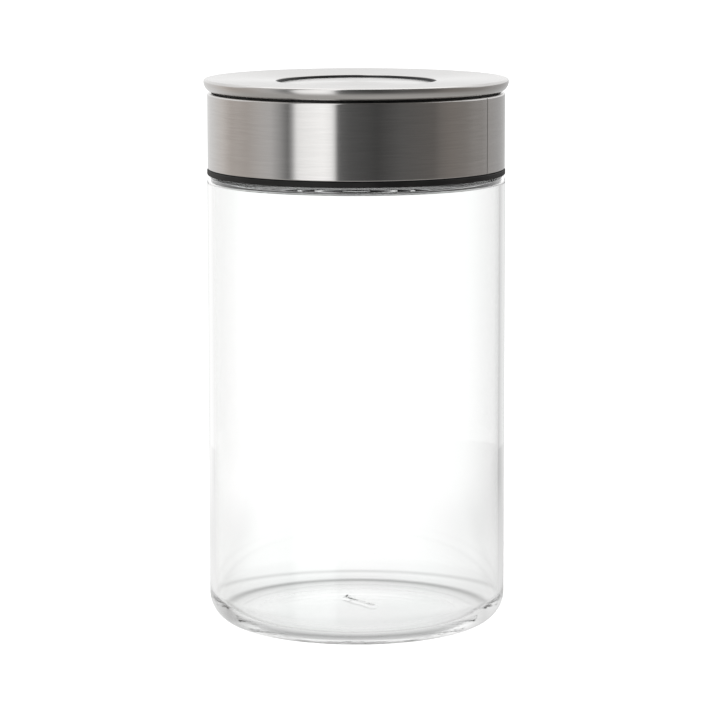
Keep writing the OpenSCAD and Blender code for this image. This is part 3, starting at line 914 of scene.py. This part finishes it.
far_light = add(tree, "Emission", {"Color": papered, "Strength": backdrop}).outputs[0]
through_glass = mixed(tree, eased(tree, reach, *screen_fade), close_light, far_light)
passed = add(tree, "LightPath").outputs["Is Transmission Ray"]
tree.links.new(mixed(tree, passed, shader.outputs[0], through_glass), output.inputs["Surface"])
print("rings of shade out to, mm:", round(rings[-2][0] / MM))

# %% [markdown]
# ## The room that the steel shows
# Polished and brushed steel shows little of its own: it shows the room. So the room is the real light.
# An image of a studio would do it, but a few numbers are easier to tune. They are drawn in the world's nodes
# as a strip round the horizon: bearings as on the screen, with how bright the room is there. The bright
# window is to the left of the camera. Two stretches are slightly warm, one on the left and one on the
# right, as real walls and wood would be.

# %% The strip round the horizon
room = [
    (-180, 0.80), (-165, 0.82), (-143, 0.80), (-125, 0.73), (-112, 0.55), (-93, 0.53), (-78, 0.60),
    (-69, 0.60), (-61, 0.42), (-53.5, 0.20), (-50.3, 0.45), (-46, 1.20), (-39, 1.30), (-25, 1.42),
    (-19, 1.30), (-16.5, 0.95), (-14, 0.16), (-5, 0.115), (16, 0.075), (35, 0.13), (62, 0.16),
    (68, 0.21), (78, 0.25), (113, 0.31), (125, 0.41), (143, 0.46), (164, 0.58), (180, 0.62),
]
brightest = max(light for _, light in room)


def tone(degrees):
    """Colour of the room's light at a bearing: nearly white, and warmest far left and to the right."""
    warmth = math.exp(-((degrees + 105) / 28) ** 2) + math.exp(-((degrees - 85) / 40) ** 2)
    return 1.0, 1 - 0.09 * warmth, 1 - 0.16 * warmth


world = bpy.data.worlds.new("studio_room")
bpy.context.scene.world = world
world.use_nodes = True
sky = world.node_tree
sky.nodes.clear()
look = add(sky, "TexCoord").outputs["Generated"]
part_of = add(sky, "SeparateXYZ", {0: look}).outputs
round_room = bearing_share(sky, part_of["X"], part_of["Y"])
room_stops = [((degrees + 180) / 360, tuple(light / brightest * c for c in tone(degrees)))
              for degrees, light in room]
strip = ramp(sky, round_room, room_stops, "LINEAR").outputs["Color"]
lit_strip = add(sky, "Background", {"Color": strip, "Strength": brightest}).outputs[0]
print("the room has", len(room), "stops, brightest", brightest)

# %% [markdown]
# ## Above and below
# The lid's flat top shows what is over the horizon behind the jar, so a broad white ceiling comes down to
# the horizon there. It is brightest straight overhead. The rim's underside looks down at the table, which
# reflections don't see, so a dim and slightly warm light from below takes its place.

# %% Ceiling and light from the table
ceiling = 1.0
skylight = 1.6
table = 0.5
table_tone = (1, 0.98, 0.95, 1)
lean = 0.35

high = eased(sky, part_of["Z"], 0.5, 0.9, low=ceiling, high=skylight)
lit_ceiling = add(sky, "Background", {"Color": (1, 1, 1, 1), "Strength": high}).outputs[0]
leaning = add(sky, "Math", {0: part_of["Z"], 1: lean, 2: part_of["Y"]}, operation="MULTIPLY_ADD").outputs[0]
backward = eased(sky, leaning, 0.05, 0.3)
upward = eased(sky, part_of["Z"], -0.02, 0.06)
over = add(sky, "Math", {0: backward, 1: upward}, operation="MULTIPLY").outputs[0]
downward = eased(sky, part_of["Z"], -0.25, -0.8)
lit_table = add(sky, "Background", {"Color": table_tone, "Strength": table}).outputs[0]
level = mixed(sky, downward, lit_strip, lit_table)
reflected = mixed(sky, over, level, lit_ceiling)
print("ceiling", ceiling, "rising to", skylight, "overhead; from the table", table)

# %% [markdown]
# ## Which light a ray meets
# One world serves four kinds of ray. What the camera sees past the jar is plain white, and rays that light
# dull surfaces meet the same even white. Rays that have passed through glass meet the screen. All others are
# reflections, and they meet the room. The world could be one picture for all of them, but then a card that
# draws the edge of the glass would also darken the steel.
# A ray in the corner of a thick glass base bounces many times before it gets out. It turns black when the
# bounces run out, so there are plenty.

# %% Sort the rays
soft_white = 1.3
most_bounces = 64

paper = ramp(sky, round_room, screen_stops, "LINEAR").outputs["Color"]
lit_backdrop = add(sky, "Background", {"Color": paper, "Strength": backdrop}).outputs[0]
lit_soft = add(sky, "Background", {"Color": (1, 1, 1, 1), "Strength": soft_white}).outputs[0]
ray = add(sky, "LightPath").outputs
see_through = mixed(sky, ray["Is Transmission Ray"], reflected, lit_backdrop)
soft = mixed(sky, ray["Is Diffuse Ray"], see_through, lit_soft)
seen = mixed(sky, ray["Is Camera Ray"], soft, lit_soft)
add(sky, "OutputWorld", {"Surface": seen})

bpy.context.scene.cycles.max_bounces = most_bounces
bpy.context.scene.cycles.glossy_bounces = most_bounces
bpy.context.scene.cycles.transmission_bounces = most_bounces
print("plain white", soft_white, "- bounces", most_bounces)

# %% [markdown]
# ## The key lamp
# A single large soft lamp high on the left gives the black and white plastics a direction of light. It is
# hidden from reflections, where it would add a second highlight to the steel, and from rays through the
# glass, where it would leave a white patch in the base.

# %% Soft key lamp
lamp_aim = Vector((0, 0, 0.12))
lamp_data = bpy.data.lights.new("soft_key", "AREA")
lamp_data.size = 0.7
lamp_data.energy = 6.0
lamp = bpy.data.objects.new("soft_key", lamp_data)
lamp.location = (-0.7, -0.5, 0.9)
lamp.visible_glossy = False
lamp.visible_transmission = False
bpy.context.scene.collection.objects.link(lamp)
lamp.rotation_euler = (lamp_aim - lamp.location).to_track_quat("-Z", "Y").to_euler()
print("key lamp at", [round(v, 2) for v in lamp.location])

# %% [markdown]
# ## Camera
# The camera stands a little over a metre away with a long lens, and looks down a little. The lid's top shows
# as a thin ellipse, and the long lens keeps the jar's sides almost parallel. The Standard view transform
# shows the white of the studio as white, where a filmic one would grey it.

# %% Camera
tilt_down = 8.449
roll = -0.09
camera_place = (-0.0005, -1.16723, 0.26396)
camera_data = bpy.data.cameras.new("camera")
camera_data.sensor_width = 36
camera_data.lens = 177.06
camera = bpy.data.objects.new("camera", camera_data)
bpy.context.scene.collection.objects.link(camera)
camera.matrix_world = (
    Matrix.Translation(camera_place)
    @ Matrix.Rotation(math.radians(90 - tilt_down), 4, "X")
    @ Matrix.Rotation(math.radians(roll), 4, "Z")
)
bpy.context.scene.camera = camera
bpy.context.scene.view_settings.view_transform = "Standard"
print("camera looks down by", tilt_down, "degrees through a", round(camera_data.lens, 2), "mm lens")
